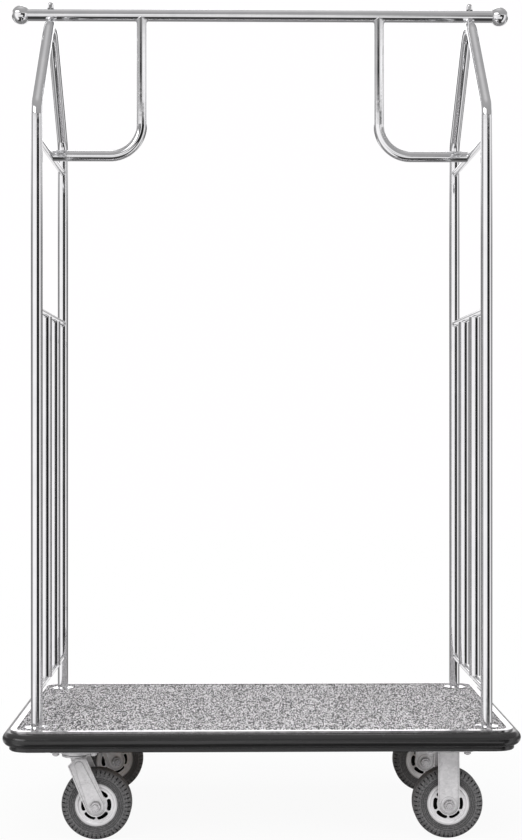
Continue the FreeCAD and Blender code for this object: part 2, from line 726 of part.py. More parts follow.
def axle_pieces():
    """Axle bolt, nut, and the sleeve with its end spacers, along Y through the origin."""
    axle_radius = axle_diameter / 2
    boss_y = fork_outer_y + fork_panel_height
    bolt_end = -boss_y - axle_nut_height - axle_thread_showing
    shank = cylinder(Vector(0, bolt_end, 0), Vector(0, boss_y, 0), axle_radius)
    head = turned(hexagon(axle_flats, boss_y, boss_y + axle_head_height), -90, along_x)
    bolt = shank.fuse(head)
    nut = turned(hexagon(axle_flats, boss_y, boss_y + axle_nut_height), 90, along_x)
    nut = nut.cut(cylinder(Vector(0, -wheel_diameter, 0), Vector(0, 0, 0), axle_radius + weld_gap))
    sleeve_end = fork_inner_y - weld_gap
    sleeve_radius = axle_radius + sleeve_wall
    bore = cylinder(Vector(0, -sleeve_end, 0), Vector(0, sleeve_end, 0), axle_radius + weld_gap)
    sleeve = cylinder(Vector(0, -sleeve_end, 0), Vector(0, sleeve_end, 0), sleeve_radius).cut(bore)
    spacers = []
    for side in (-1, 1):
        near = Vector(0, side * (hub_half_width + turning_gap), 0)
        far = Vector(0, side * sleeve_end, 0)
        spacer_bore = cylinder(near, far, sleeve_radius + weld_gap)
        spacers.append(cylinder(near, far, spacer_diameter / 2).cut(spacer_bore))
    return bolt, nut, [sleeve] + spacers


def wheel_pieces():
    """Tyre, rim and bearings of one wheel, axle along Y through the origin."""
    rim_radius = rim_diameter / 2
    seat_half_width = tyre_width / 2 - rim_flange_width
    well_radius = rim_radius - rim_well_depth
    bearing_radius = bearing_diameter / 2
    seat_radius = bearing_radius + weld_gap
    hub_radius = seat_radius + hub_wall
    disc_y = hub_half_width - rim_disc_setback
    flange_y = tyre_width / 2 - weld_gap
    barrel_radius = well_radius - rim_barrel_wall
    sleeve_radius = axle_diameter / 2 + sleeve_wall
    bore_radius = (sleeve_radius + bearing_radius) / 2

    def revolved(profile):
        points = [Vector(radius, y, 0) for radius, y in profile]
        return polygon_face(points).revolve(Vector(0, 0, 0), along_y, 360)

    def mirrored(half):
        return half + [(radius, -y) for radius, y in reversed(half)]

    rim = revolved(mirrored([
        (bore_radius, hub_half_width),
        (hub_radius, hub_half_width),
        (hub_radius + hub_wall, disc_y),
        (barrel_radius, disc_y),
        (barrel_radius + rim_barrel_wall / 2, flange_y),
        (rim_radius, flange_y),
        (rim_radius, seat_half_width),
        (well_radius, seat_half_width - rim_well_depth),
    ]))
    inside_y = disc_y - rim_disc_sheet
    for side in (-1, 1):
        web_y = side * rim_web_sheet / 2
        hollow = [(hub_radius, web_y), (barrel_radius, web_y)]
        hollow += [(barrel_radius, side * inside_y), (hub_radius, side * inside_y)]
        rim = rim.cut(revolved(hollow))
        seat_inner = Vector(0, side * (hub_half_width - bearing_width - weld_gap), 0)
        rim = rim.cut(cylinder(seat_inner, Vector(0, side * (hub_half_width + 1), 0), seat_radius))
        for step in range(rim_slot_count):
            rim = rim.cut(turned(rim_slot(side), step * 360 / rim_slot_count, along_y))

    tread_half = tyre_tread_width / 2
    tyre_radius = wheel_diameter / 2
    widest_radius = (rim_radius + tyre_radius) / 2
    tyre = revolved(mirrored([
        (well_radius + weld_gap, seat_half_width - rim_well_depth),
        (rim_radius + weld_gap, seat_half_width),
        (rim_radius + weld_gap, tyre_width / 2 - rim_flange_width / 2),
        (widest_radius, tyre_width / 2),
        (tyre_radius - tyre_shoulder_drop, tyre_width / 2 - tyre_shoulder_setback),
        (tyre_radius - tyre_shoulder_drop / 3, tread_half + tyre_shoulder_drop / 2),
        (tyre_radius, tread_half),
    ]))
    for y in (-tyre_groove_spacing, 0, tyre_groove_spacing):
        groove_bottom = tyre_radius - tyre_groove_depth
        groove = [(groove_bottom, y - tyre_groove_width / 2), (tyre_radius + 1, y - tyre_groove_width / 2)]
        groove += [(tyre_radius + 1, y + tyre_groove_width / 2), (groove_bottom, y + tyre_groove_width / 2)]
        tyre = tyre.cut(revolved(groove))
    tyre = tyre.cut(tyre_notches(widest_radius))

    wall_start = rim_radius + weld_gap
    wall_start_y = tyre_width / 2 - rim_flange_width / 2

    def wall_y(radius):
        """Half width of the side wall, between the rim and the widest line."""
        share = (radius - wall_start) / (widest_radius - wall_start)
        return wall_start_y + share * (tyre_width / 2 - wall_start_y)

    for step in range(tyre_ring_count):
        inner = wall_start + (widest_radius - wall_start) * (step + 1) / (tyre_ring_count + 1)
        outer = inner + tyre_ring_width
        ring = [(inner, wall_y(inner) - tyre_ring_depth), (outer, wall_y(outer) - tyre_ring_depth)]
        ring += [(outer, tyre_width), (inner, tyre_width)]
        tyre = tyre.cut(revolved(ring)).cut(revolved([(radius, -y) for radius, y in ring]))

    bearings = []
    for side in (-1, 1):
        near = Vector(0, side * (hub_half_width - bearing_width), 0)
        far = Vector(0, side * hub_half_width, 0)
        ring = cylinder(near, far, bearing_radius)
        bearings.append(ring.cut(cylinder(near, far, sleeve_radius + running_clearance)))
    return tyre, rim, bearings


def tyre_notches(widest_radius):
    """Cross cuts all round both shoulders, each with a shallow tail down the side wall, staggered."""
    tyre_radius = wheel_diameter / 2
    pitch = 360 / tyre_notch_count

    def cut_block(side, inner_y, base):
        low_y = inner_y if side > 0 else -inner_y - tyre_width
        corner = Vector(-tyre_notch_width / 2, low_y, base)
        return Part.makeBox(tyre_notch_width, tyre_width, 2 * tyre_radius - base, corner)

    notches = []
    for side, offset in ((-1, 0.0), (1, pitch / 2)):
        head = cut_block(side, tyre_tread_width / 2 + tyre_notch_width / 2, tyre_radius - tyre_shoulder_drop)
        tail = cut_block(side, tyre_width / 2 - tyre_notch_tail_depth, widest_radius + tyre_ring_width)
        notch = head.fuse(tail).removeSplitter()
        notches += [turned(notch, offset + step * pitch, along_y) for step in range(tyre_notch_count)]
    return Part.makeCompound(notches)


def rim_slot(side):
    """Curved, round-ended slot through one rim disc, starting beside the lowest bridge."""
    depth = Vector(0, side * wheel_diameter, 0)
    start = Vector(0, side * rim_web_sheet / 2, 0)
    inner = rim_slot_radius - rim_slot_width / 2
    ring = cylinder(start, start + depth, inner + rim_slot_width).cut(cylinder(start, start + depth, inner))
    tip_angle = math.degrees(rim_slot_width / 2 / rim_slot_radius)
    bridge_half_angle = (360 / rim_slot_count - rim_slot_angle) / 2
    sweep = rim_slot_angle - 2 * tip_angle
    first = 270 + bridge_half_angle + tip_angle
    face = polygon_face([
        start,
        start + direction_xz(first) * wheel_diameter,
        start + direction_xz(first + sweep / 2) * wheel_diameter * 1.2,
        start + direction_xz(first + sweep) * wheel_diameter,
    ])
    slot = ring.common(face.extrude(depth))
    for angle in (first, first + sweep):
        tip = start + direction_xz(angle) * rim_slot_radius
        slot = slot.fuse(cylinder(tip, tip + depth, rim_slot_width / 2))
    return slot


def direction_xz(degrees):
    return Vector(math.cos(math.radians(degrees)), 0, math.sin(math.radians(degrees)))


def casters():
    bolt, nut, sleeves = axle_pieces()
    tyre, rim, bearings = wheel_pieces()
    plate, fork, balls, king_pin = swivel_pieces()

    def save_wheel(name, place):
        save(name + "_tyre", place(tyre))
        save(name + "_rim", place(rim))
        save(name + "_bearings", *[place(bearing) for bearing in bearings])

    for name, y, turn in (("front_left", -caster_y, 0.0), ("rear_left", caster_y, rear_swivel_turn)):
        def at_pivot(shape):
            return moved(turned(shape, turn), -caster_x, y)

        def at_axle(shape):
            return at_pivot(moved(shape, caster_trail, 0, axle_z))

        save(name + "_swivel_plate", moved(plate, -caster_x, y))
        save(name + "_king_pin", moved(king_pin, -caster_x, y))
        save(name + "_fork", at_pivot(fork))
        save(name + "_race_balls", *[at_pivot(ball) for ball in balls])
        save(name + "_axle_bolt", at_axle(bolt))
        save(name + "_axle_nut", at_axle(nut))
        save(name + "_axle_sleeve", *[at_axle(sleeve) for sleeve in sleeves])
        save_wheel(name, at_axle)

    rigid_y = (("front_right", -caster_y), ("rear_right", caster_y))
    for name, y in rigid_y:
        save(name + "_fork", moved(rigid_fork(), caster_x, y))
        save_wheel(name, lambda shape: moved(shape, caster_x, y, axle_z))
    save("rigid_axle_bolts", *[moved(bolt, caster_x, y, axle_z) for name, y in rigid_y])
    save("rigid_axle_nuts", *[moved(nut, caster_x, y, axle_z) for name, y in rigid_y])
    save("rigid_axle_sleeves", *[
        moved(sleeve, caster_x, y, axle_z) for name, y in rigid_y for sleeve in sleeves])


os.makedirs("parts", exist_ok=True)
deck_pieces()
bumper()
underframe()
end_frames()
hanging_rail()
rail_fasteners()
post_feet()
caster_fasteners()
casters()
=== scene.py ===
import bpy
import json
import math
import random
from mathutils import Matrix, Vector


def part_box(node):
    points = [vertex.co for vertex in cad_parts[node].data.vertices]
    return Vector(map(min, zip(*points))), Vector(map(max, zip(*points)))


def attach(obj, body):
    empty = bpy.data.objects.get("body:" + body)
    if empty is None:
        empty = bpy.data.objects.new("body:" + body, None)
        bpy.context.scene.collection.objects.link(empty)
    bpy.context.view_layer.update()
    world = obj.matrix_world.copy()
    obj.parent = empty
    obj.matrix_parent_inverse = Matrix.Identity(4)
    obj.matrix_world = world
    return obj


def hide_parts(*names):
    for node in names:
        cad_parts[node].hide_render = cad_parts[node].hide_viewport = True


# Hotel luggage cart in a plain white studio. Metres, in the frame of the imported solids.

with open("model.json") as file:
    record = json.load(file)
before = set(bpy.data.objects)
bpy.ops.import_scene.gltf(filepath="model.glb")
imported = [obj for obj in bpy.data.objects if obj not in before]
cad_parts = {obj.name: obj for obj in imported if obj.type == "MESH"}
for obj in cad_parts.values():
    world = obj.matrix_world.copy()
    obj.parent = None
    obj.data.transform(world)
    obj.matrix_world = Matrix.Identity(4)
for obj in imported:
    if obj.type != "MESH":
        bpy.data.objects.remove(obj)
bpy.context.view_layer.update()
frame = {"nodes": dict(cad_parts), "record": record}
nodes = frame["nodes"]
ends = ("left", "right")
levels = ("lower", "mid", "upper")

# Camera, level, seen from the front
image_height = 840                    # pixels
focal_length = 1506.62                # pixels
horizon_below_middle = 2.38           # pixels
sensor_long_side = 36.0               # millimetres, along the picture's height
camera_place = (-0.05097, -3.45519, 0.89391)
camera_turn = math.radians(0.8652)    # to the right

# Carpet
carpet_corner_radius = 0.0364
trim_flange_width = 0.013
tuft_pitch = 0.0035
tuft_height = 0.0007
tuft_stray = 0.25                     # how far a tuft leaves its place, as a share of the pitch
tuft_chance = random.Random(7)
carpet_edge_drop = 0.0005             # pile pressed in under the trim and the post flanges
press_reach = 2 * tuft_pitch          # the pile goes down to its edge over this width
loops_per_metre = (520.0, 165.0, 165.0)  # along the cart, across it and upwards

# Wheels
tyre_ring_rate = 2600.0               # radians of the side wall's fine rings per metre outwards
tread_depth = 0.010                   # dust on the tread begins this far in from the tyre's outside
tread_edge = 0.001                    # and is whole from here outwards
rim_grime_width = 0.006               # grime along the rim's edge
hub_grime_radius = 0.020              # grime round the hub, fading out at this radius
hub_radius = 0.014
rim_disc_face = 0.0190                # face of the rim's disc, from the wheel's middle; painted black behind it as shade
inside_shade_fade = 0.0006                # the painted shade behind the disc's face comes in over this depth
rear_left_turn = math.radians(21.0)   # how the rear left caster stands turned at rest

# Weld beads where tubes meet
bead_radius = 0.0013
bead_ripple = 0.14                    # as a share of the radius
bead_ripple_step = 2.4                # radians of the ripple from one section to the next
bead_sides = 8
crossbar_bead_sections = 44
rail_bead_sections = 64
notch_bead_half_sections = 8          # to each side of the middle one
notch_depth = 0.002                   # how far a notched tube end reaches over a crossbar

# Greys lean a little to violet
grey_cast = (1.006, 0.994, 1.006)

# Floor
floor_half = 9.0
floor_grey = 0.62
floor_white_near = 0.94               # share of plain white near the cart, where the shadow shows
floor_white_from = 0.4                # plain white grows from this distance
floor_white_to = 1.6                  # and is whole from this one on

# Studio that shiny faces reflect, in degrees. Bearings are 0 towards the camera and positive to its right,
# rises are above the level, and each grey belongs to the bearing or rise before it.
wall_greys = [(-180, 0.95), (-169, 0.95), (-157, 0.25), (-115, 0.22), (-80, 0.40), (-64, 1.1), (2, 1.0),
              (10, 0.02), (53, 0.02), (61, 0.95), (72, 1.0), (95, 0.45), (122, 0.14), (150, 0.16),
              (158, 0.26), (169, 0.95), (180, 0.95)]
upper_wall_greys = [(-180, 0.95), (-169, 0.95), (-157, 0.25), (-130, 0.35), (-110, 0.49), (-60, 0.52),
                    (-46, 0.55), (-32, 0.04), (0, 0.02), (10, 0.60), (18, 0.85), (30, 1.1), (74, 1.05),
                    (95, 0.65), (133, 0.55), (158, 0.30), (169, 0.95), (180, 0.95)]
height_greys = [(-90, 0.10), (-74, 0.05), (-42, 0.05), (-35, 0.60), (-28, 0.95), (-14, 0.95), (-11, 0.45),
                (14, 0.36), (60, 0.42), (78, 0.60), (90, 0.66)]
sky_greys = [(0, 0.20), (30, 0.50), (60, 0.72), (90, 0.80)]  # the light on matt pieces, by rise
wall_rises = (-11.5, 15.0)
upper_wall_rises = (11.3, 12.1)       # the lower walls give way to the upper ones between these
side_wall_bearings = (34.0, 112.0)    # on both sides, where the walls go down to the floor
side_wall_rises = (-62.0, 0.0)
bearing_soft = 6.0
wall_rise_soft = 1.5
panel_rise_soft = 2.5
panels = [  # bearings to both sides, rises, grey
    ((110.0, 200.0), (-80.0, -24.0), 0.25),  # floor behind
    ((110.0, 200.0), (9.0, 24.0), 1.0),      # pale back wall
    ((162.0, 200.0), (10.0, 24.0), 2.2),     # bright middle of the back wall
    ((160.0, 200.0), (3.0, 7.5), 0.30),      # grey foot of the back wall
    ((-20.0, 16.0), (-13.5, -10.5), 0.02),   # dark strip under the camera
    ((166.0, 200.0), (37.0, 47.0), 3.5),     # high strip light behind
]
left_panel = ((-66.0, -18.0), (21.0, 35.0), 4.0)  # soft box on the left of the camera only


# Node graphs
def add(tree, kind, inputs=None, **settings):
    """New shader node; inputs maps a socket to a value or to another node's output."""
    node = tree.nodes.new("ShaderNode" + kind)
    for name, value in settings.items():
        setattr(node, name, value)
    for socket, value in (inputs or {}).items():
        if isinstance(value, bpy.types.NodeSocket):
            tree.links.new(value, node.inputs[socket])
        else:
            node.inputs[socket].default_value = value
    return node


def cast_grey(grey):
    return tuple(grey * part for part in grey_cast)


def arithmetic(tree, operation, first, second=0.0):
    return add(tree, "Math", {0: first, 1: second}, operation=operation).outputs[0]


def spread(tree, value, low, high, to_low=0.0, to_high=1.0):
    """Value from low to high becomes to_low to to_high, eased at both ends."""
    node = add(tree, "MapRange", {
        "Value": value, "From Min": low, "From Max": high, "To Min": to_low, "To Max": to_high})
    node.interpolation_type = "SMOOTHSTEP"
    return node.outputs["Result"]


def band(tree, value, low, high, soft):
    """One between low and high, nothing outside them, with soft edges."""
    return arithmetic(tree, "MULTIPLY", spread(tree, value, low - soft, low + soft),
                      spread(tree, value, high + soft, high - soft))


def ramp(tree, value, stops):
    """Colour ramp; stops are (place, grey) or (place, (red, green, blue))."""
    node = add(tree, "ValToRGB", {"Fac": value})
    elements = node.color_ramp.elements
    while len(elements) < len(stops):
        elements.new(0.5)
    for element, (place, colour) in zip(elements, sorted(stops)):
        if isinstance(colour, (int, float)):
            colour = cast_grey(colour)
        element.position = place
        element.color = (*colour, 1.0)
    return node.outputs["Color"]


def blend(tree, factor, first, second, blend_type="MIX"):
    """Mix of two colours, each a socket or a grey."""
    node = add(tree, "Mix", {"Factor": factor}, data_type="RGBA", blend_type=blend_type)
    for socket, value in ((6, first), (7, second)):
        if isinstance(value, bpy.types.NodeSocket):
            tree.links.new(value, node.inputs[socket])
        else:
            node.inputs[socket].default_value = (*cast_grey(value), 1.0)
    return node.outputs[2]


def noise(tree, place, scale=1.0, detail=3.0, roughness=0.55):
    return add(tree, "TexNoise", {
        "Vector": place, "Scale": scale, "Detail": detail, "Roughness": roughness}).outputs["Fac"]


def scaled(tree, place, factors):
    return add(tree, "Mapping", {"Vector": place, "Scale": factors}).outputs["Vector"]


def bumped(tree, height, distance, strength, under=None):
    """Normal with height laid over the normal under it."""
    inputs = {"Height": height, "Distance": distance, "Strength": strength}
    if under is not None:
        inputs["Normal"] = under
    return add(tree, "Bump", inputs).outputs["Normal"]


def crevice_shade(tree, reach):
    """Mask for painted shade, from ambient occlusion: one in corners and joints closer than reach, nothing
    on open faces.
    """
    open_share = add(tree, "AmbientOcclusion", {"Distance": reach}, samples=8).outputs["AO"]
    return spread(tree, open_share, 0.92, 0.35)


def new_surface(name, **constants):
    """New material; returns it with its tree, its surface shader and its object coordinates."""
    material = bpy.data.materials.new(name)
    material.use_nodes = True
    tree = material.node_tree
    shader = tree.nodes["Principled BSDF"]
    for socket, value in constants.items():
        shader.inputs[socket.replace("_", " ")].default_value = value
    place = add(tree, "TexCoord").outputs["Object"]
    return material, tree, shader, place


def connect(tree, shader, **outputs):
    for socket, output in outputs.items():
        tree.links.new(output, shader.inputs[socket.replace("_", " ")])


# Materials
def chrome(name, along):
    """Chromed tube: mirror bright, polished along its length, with faint smears."""
    material, tree, shader, place = new_surface(name, Metallic=1.0)
    streak_scale = [900.0, 900.0, 900.0]
    streak_scale["XYZ".index(along)] = 9.0
    streaks = noise(tree, scaled(tree, place, streak_scale), detail=2.0)
    smears = noise(tree, place, scale=22.0, detail=4.0, roughness=0.6)
    ripple = noise(tree, place, scale=60.0, detail=1.0)
    tint = ramp(tree, smears, [(0.25, (0.80, 0.805, 0.815)), (0.75, (0.89, 0.89, 0.895))])
    haze = arithmetic(tree, "ADD", spread(tree, smears, 0.3, 0.8, to_low=0.035, to_high=0.085),
                      spread(tree, streaks, 0.3, 0.8, to_low=0.0, to_high=0.03))
    rippled = bumped(tree, ripple, distance=0.0002, strength=0.2)
    normal = bumped(tree, streaks, distance=0.00002, strength=0.35, under=rippled)
    connect(tree, shader, Base_Color=tint, Roughness=haze, Normal=normal)
    return material


def brushed_steel(name, base, roughness, metallic, shade_and_grime):
    """Satin or plated steel with a fine crosswise grain, cloudy plating and painted shade in its corners."""
    material, tree, shader, place = new_surface(name, Metallic=metallic)
    grain = noise(tree, scaled(tree, place, (60.0, 60.0, 1800.0)))
    clouds = noise(tree, place, scale=45.0, detail=5.0, roughness=0.65)
    pits = noise(tree, place, scale=700.0, detail=2.0)
    spangle = add(tree, "TexVoronoi", {"Vector": place, "Scale": 210.0}).outputs["Color"]
    facets = add(tree, "SeparateColor", {"Color": spangle}).outputs["Red"]
    plating = blend(tree, 0.35, ramp(tree, clouds, [(0.25, 0.80 * base), (0.75, base)]),
                    ramp(tree, facets, [(0.0, 0.72 * base), (1.0, 1.08 * base)]))
    # painted shade: the plating darkens in corners and joints, more or less for each finish
    tint = blend(tree, arithmetic(tree, "MULTIPLY", crevice_shade(tree, 0.006), shade_and_grime), plating, 0.07)
    cloudy = spread(tree, clouds, 0.3, 0.75, to_low=roughness - 0.06, to_high=roughness + 0.06)
    haze = arithmetic(tree, "ADD", cloudy, spread(tree, grain, 0.3, 0.7, to_low=-0.03, to_high=0.05))
    pitted = bumped(tree, pits, distance=0.00006, strength=0.3)
    normal = bumped(tree, grain, distance=0.00004, strength=0.4, under=pitted)
    connect(tree, shader, Base_Color=tint, Roughness=haze, Normal=normal)
    return material


def bumper_rubber():
    """Black extruded rubber: polished by use, drawn lines along it, a little scuffed and dusty."""
    material, tree, shader, place = new_surface("bumper_rubber", Specular_IOR_Level=0.6)
    drawn = noise(tree, scaled(tree, place, (14.0, 14.0, 1100.0)))
    waves = noise(tree, scaled(tree, place, (2.5, 2.5, 230.0)), detail=2.0)
    dust = noise(tree, place, scale=30.0, detail=5.0, roughness=0.65)
    scuffs = noise(tree, scaled(tree, place, (26.0, 26.0, 420.0)), detail=5.0, roughness=0.7)
    marks = spread(tree, scuffs, 0.62, 0.74)
    rubber = ramp(tree, waves, [(0.3, 0.009), (0.75, 0.022)])
    tint = blend(tree, arithmetic(tree, "MULTIPLY", marks, 0.5), rubber, 0.05)
    haze = arithmetic(tree, "ADD", spread(tree, dust, 0.3, 0.7, to_low=0.15, to_high=0.26),
                      arithmetic(tree, "MULTIPLY", marks, 0.15))
    grain = noise(tree, place, scale=1500.0, detail=2.0)
    grained = bumped(tree, grain, distance=0.00004, strength=0.3)
    drawn_out = bumped(tree, drawn, distance=0.00006, strength=0.4, under=grained)
    normal = bumped(tree, waves, distance=0.0009, strength=0.5, under=drawn_out)
    connect(tree, shader, Base_Color=tint, Roughness=haze, Normal=normal)
    return material


def wheel_place(tree, place, centre, turn):
    """Coordinates about a wheel's own axle, with the wheel's axis along Y."""
    return add(tree, "Mapping", {
        "Vector": place, "Location": centre, "Rotation": (0.0, 0.0, turn)},
        vector_type="TEXTURE").outputs["Vector"]


def axle_distance(tree, local):
    parts = add(tree, "SeparateXYZ", {"Vector": local}).outputs
    squares = arithmetic(tree, "ADD", arithmetic(tree, "MULTIPLY", parts["X"], parts["X"]),
                         arithmetic(tree, "MULTIPLY", parts["Z"], parts["Z"]))
    return arithmetic(tree, "SQRT", squares)


def tyre_rubber(name, centre, turn, radius):
    """Moulded grey-black rubber, with fine turned rings on its walls, a dusty, scuffed tread and painted
    shade in its crevices.
    """
    material, tree, shader, place = new_surface(name, Specular_IOR_Level=0.4)
    local = wheel_place(tree, place, centre, turn)
    distance = axle_distance(tree, local)
    rings = arithmetic(tree, "SINE", arithmetic(tree, "MULTIPLY", distance, tyre_ring_rate))
    clouds = noise(tree, local, scale=55.0, detail=5.0, roughness=0.65)
    specks = noise(tree, local, scale=330.0, detail=2.0, roughness=0.6)
    grain = noise(tree, local, scale=900.0)
    tread = spread(tree, distance, radius - tread_depth, radius - tread_edge)
    rubber = ramp(tree, clouds, [(0.25, 0.12), (0.75, 0.186)])
    dusty = ramp(tree, grain, [(0.35, 0.10), (0.7, 0.19)])
    worn = blend(tree, arithmetic(tree, "MULTIPLY", tread, 0.75), rubber, dusty)
    speckled = blend(tree, 0.4, worn, ramp(tree, specks, [(0.36, 0.018), (0.5, 0.085), (0.66, 0.28)]))
    # painted shade: the rubber goes near black in its crevices
    tint = blend(tree, crevice_shade(tree, 0.004), speckled, 0.012)
    haze = spread(tree, clouds, 0.3, 0.7, to_low=0.55, to_high=0.72)
    grained = bumped(tree, grain, distance=0.0002, strength=0.5)
    normal = bumped(tree, rings, distance=0.00012, strength=0.35, under=grained)
    connect(tree, shader, Base_Color=tint, Roughness=haze, Normal=normal)
    return material


def rim_paint(name, centre, turn, radius):
    """Light grey stoved paint on the rim, with grime worked in at the edge and the hub, painted shade in its
    crevices and a painted black shade behind the disc's face.
    """
    material, tree, shader, place = new_surface(name, Specular_IOR_Level=0.5, Coat_Weight=0.15)
    local = wheel_place(tree, place, centre, turn)
    distance = axle_distance(tree, local)
    clouds = noise(tree, local, scale=60.0, detail=5.0, roughness=0.65)
    peel = noise(tree, local, scale=420.0, detail=2.0)
    edge = spread(tree, distance, radius - rim_grime_width, radius)
    hub = spread(tree, distance, hub_grime_radius, hub_radius)
    depth = arithmetic(tree, "ABSOLUTE", add(tree, "SeparateXYZ", {"Vector": local}).outputs["Y"])
    # painted shade: deeper than the disc's face the rim is painted nearly black, as the shade inside the
    # wheel
    painted_shade_inside = spread(tree, depth, rim_disc_face, rim_disc_face - inside_shade_fade)
    # grime at the edge and round the hub, together with painted shade in corners and joints
    corners = arithmetic(tree, "MAXIMUM", crevice_shade(tree, 0.005), arithmetic(tree, "MAXIMUM", edge, hub))
    shade_and_grime = arithmetic(tree, "MULTIPLY", corners, clouds)
    paint_grey = ramp(tree, clouds, [(0.25, 0.80), (0.75, 0.93)])
    tint = blend(tree, painted_shade_inside, blend(tree, shade_and_grime, paint_grey, 0.10), 0.004)
    haze = arithmetic(tree, "MAXIMUM", spread(tree, clouds, 0.3, 0.7, to_low=0.32, to_high=0.46), painted_shade_inside)
    normal = bumped(tree, peel, distance=0.00012, strength=0.4)
    connect(tree, shader, Base_Color=tint, Roughness=haze, Normal=normal)
    return material


def plywood():
    """Birch plywood: long grain on the faces, darker veins, a matt seal."""
    material, tree, shader, place = new_surface("plywood", Roughness=0.55)
    long_grain = noise(tree, scaled(tree, place, (5.0, 130.0, 900.0)), detail=6.0, roughness=0.6)
    veins = noise(tree, scaled(tree, place, (2.2, 24.0, 24.0)))
    wood = ramp(tree, veins, [
        (0.3, (0.34, 0.20, 0.10)), (0.55, (0.52, 0.35, 0.19)), (0.8, (0.60, 0.43, 0.26))])
    tint = blend(tree, spread(tree, long_grain, 0.45, 0.7, to_low=0.0, to_high=0.45), wood, 0.12)
    normal = bumped(tree, long_grain, distance=0.0002, strength=0.5)
    connect(tree, shader, Base_Color=tint, Normal=normal)
    return material


def black_paint():
    """Black powder coat: pebbled, with greyer rubbed patches."""
    material, tree, shader, place = new_surface("black_paint", Specular_IOR_Level=0.5)
    pebble = noise(tree, place, scale=650.0, detail=2.0)
    rubbed = noise(tree, place, scale=18.0, detail=5.0, roughness=0.65)
    tint = ramp(tree, rubbed, [(0.4, 0.022), (0.8, 0.06)])
    haze = spread(tree, rubbed, 0.3, 0.7, to_low=0.40, to_high=0.55)
    normal = bumped(tree, pebble, distance=0.0003, strength=0.6)
    connect(tree, shader, Base_Color=tint, Roughness=haze, Normal=normal)
    return material


def carpet_yarn():
    """Heather grey loop pile: each loop dark or light, longer along the cart's short side."""
    material, tree, shader, place = new_surface(
        "carpet_pile", Roughness=0.92, Specular_IOR_Level=0.15, Sheen_Weight=0.25, Sheen_Roughness=0.5)
    rows = scaled(tree, place, loops_per_metre)
    loops = add(tree, "TexVoronoi", {"Vector": rows, "Scale": 1.0, "Randomness": 0.9})
    shade = add(tree, "SeparateColor", {"Color": loops.outputs["Color"]}).outputs["Red"]
    fibres = noise(tree, place, scale=1400.0, roughness=0.7)
    wear = noise(tree, place, scale=5.0)
    yarn = ramp(tree, shade, [(0.0, 0.008), (0.46, 0.02), (0.54, 0.66), (1.0, 0.86)])
    combed = blend(tree, 0.06, yarn, ramp(tree, fibres, [(0.3, 0.06), (0.7, 0.72)]))
    tint = blend(tree, 1.0, combed, ramp(tree, wear, [(0.3, 0.90), (0.7, 1.0)]), "MULTIPLY")
    crowns = arithmetic(tree, "SUBTRACT", 1.0, loops.outputs["Distance"])
    looped = bumped(tree, crowns, distance=0.0025, strength=0.8)
    normal = bumped(tree, fibres, distance=0.0006, strength=0.7, under=looped)
    connect(tree, shader, Base_Color=tint, Normal=normal)
    return material


def paint(piece, material):
    piece.data.materials.clear()
    piece.data.materials.append(material)


def paint_nodes():
    """Every solid of the cart gets the finish that its record slot names; returns the chromes."""
    by_slot = {
        "trim_steel": brushed_steel("trim_steel", base=0.56, roughness=0.14, metallic=1.0, shade_and_grime=0.3),
        "deck_wood": plywood(),
        "bumper_rubber": bumper_rubber(),
        "underframe_paint": black_paint(),
        "caster_zinc": brushed_steel("caster_zinc", base=0.80, roughness=0.34, metallic=0.25, shade_and_grime=0.9),
        "fastener_zinc": brushed_steel("fastener_zinc", base=0.74, roughness=0.25, metallic=0.75, shade_and_grime=0.9),
    }
    by_wheel_slot = {"tyre_rubber": tyre_rubber, "rim_paint": rim_paint}
    chromes = {along: chrome("chrome_" + along.lower(), along) for along in "XYZ"}
    for entry in frame["record"]["subparts"]:
        name = entry["node"]
        slot = entry["material_slot"]
        low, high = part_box(name)
        size = high - low
        if slot == "polished_tube":
            longest = max(range(3), key=lambda axis: size[axis])
            paint(nodes[name], chromes["XYZ"[longest]])
        elif slot in by_wheel_slot:
            turn = rear_left_turn if name.startswith("rear_left") else 0.0
            paint(nodes[name], by_wheel_slot[slot](name, (low + high) / 2, turn, size.z / 2))
        elif slot in by_slot:
            paint(nodes[name], by_slot[slot])
    return chromes


# Pieces
def new_piece(name, points, faces, material, body):
    mesh = bpy.data.meshes.new(name)
    mesh.from_pydata(points, [], faces)
    mesh.validate()
    mesh.shade_smooth()
    piece = bpy.data.objects.new(name, mesh)
    bpy.context.scene.collection.objects.link(piece)
    paint(piece, material)
    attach(piece, body)
    return piece


